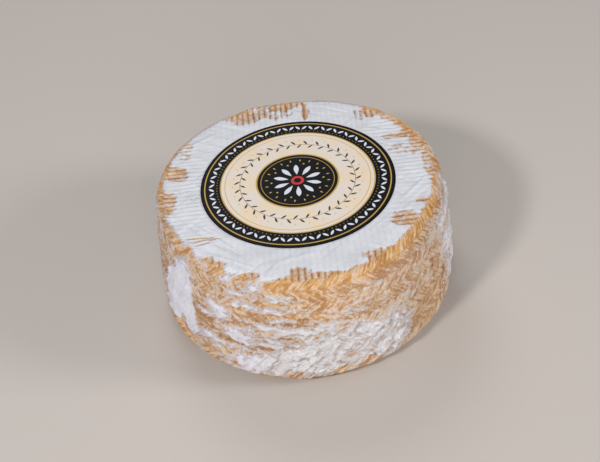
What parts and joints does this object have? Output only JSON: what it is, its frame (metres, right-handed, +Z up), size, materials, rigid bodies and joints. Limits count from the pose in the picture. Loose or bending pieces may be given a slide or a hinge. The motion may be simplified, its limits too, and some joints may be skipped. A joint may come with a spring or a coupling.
{
  "type": "cured sheep cheese",
  "caption": "Low round wheel of cured cheese with a herringbone belt imprint round its side, grooves and smears of white lard on top, and a round paper label.",
  "frame": {"origin": "under the middle of the wheel, on the surface it stands on", "axes": "+Z up through the label; -Y towards the front, the side in the picture; +X to the right seen from the front"},
  "size_m": [0.2045, 0.2039, 0.0871],
  "materials": {
    "rind": "dry ochre rind under an uneven, waxy white coat of lard",
    "label_paper": "printed paper with a slight gloss: black band and centre, cream field, thin gold rings"
  },
  "bodies": {
    "root": {"cheese_wheel": "rind", "label": "label_paper"}
  },
  "joints": []
}
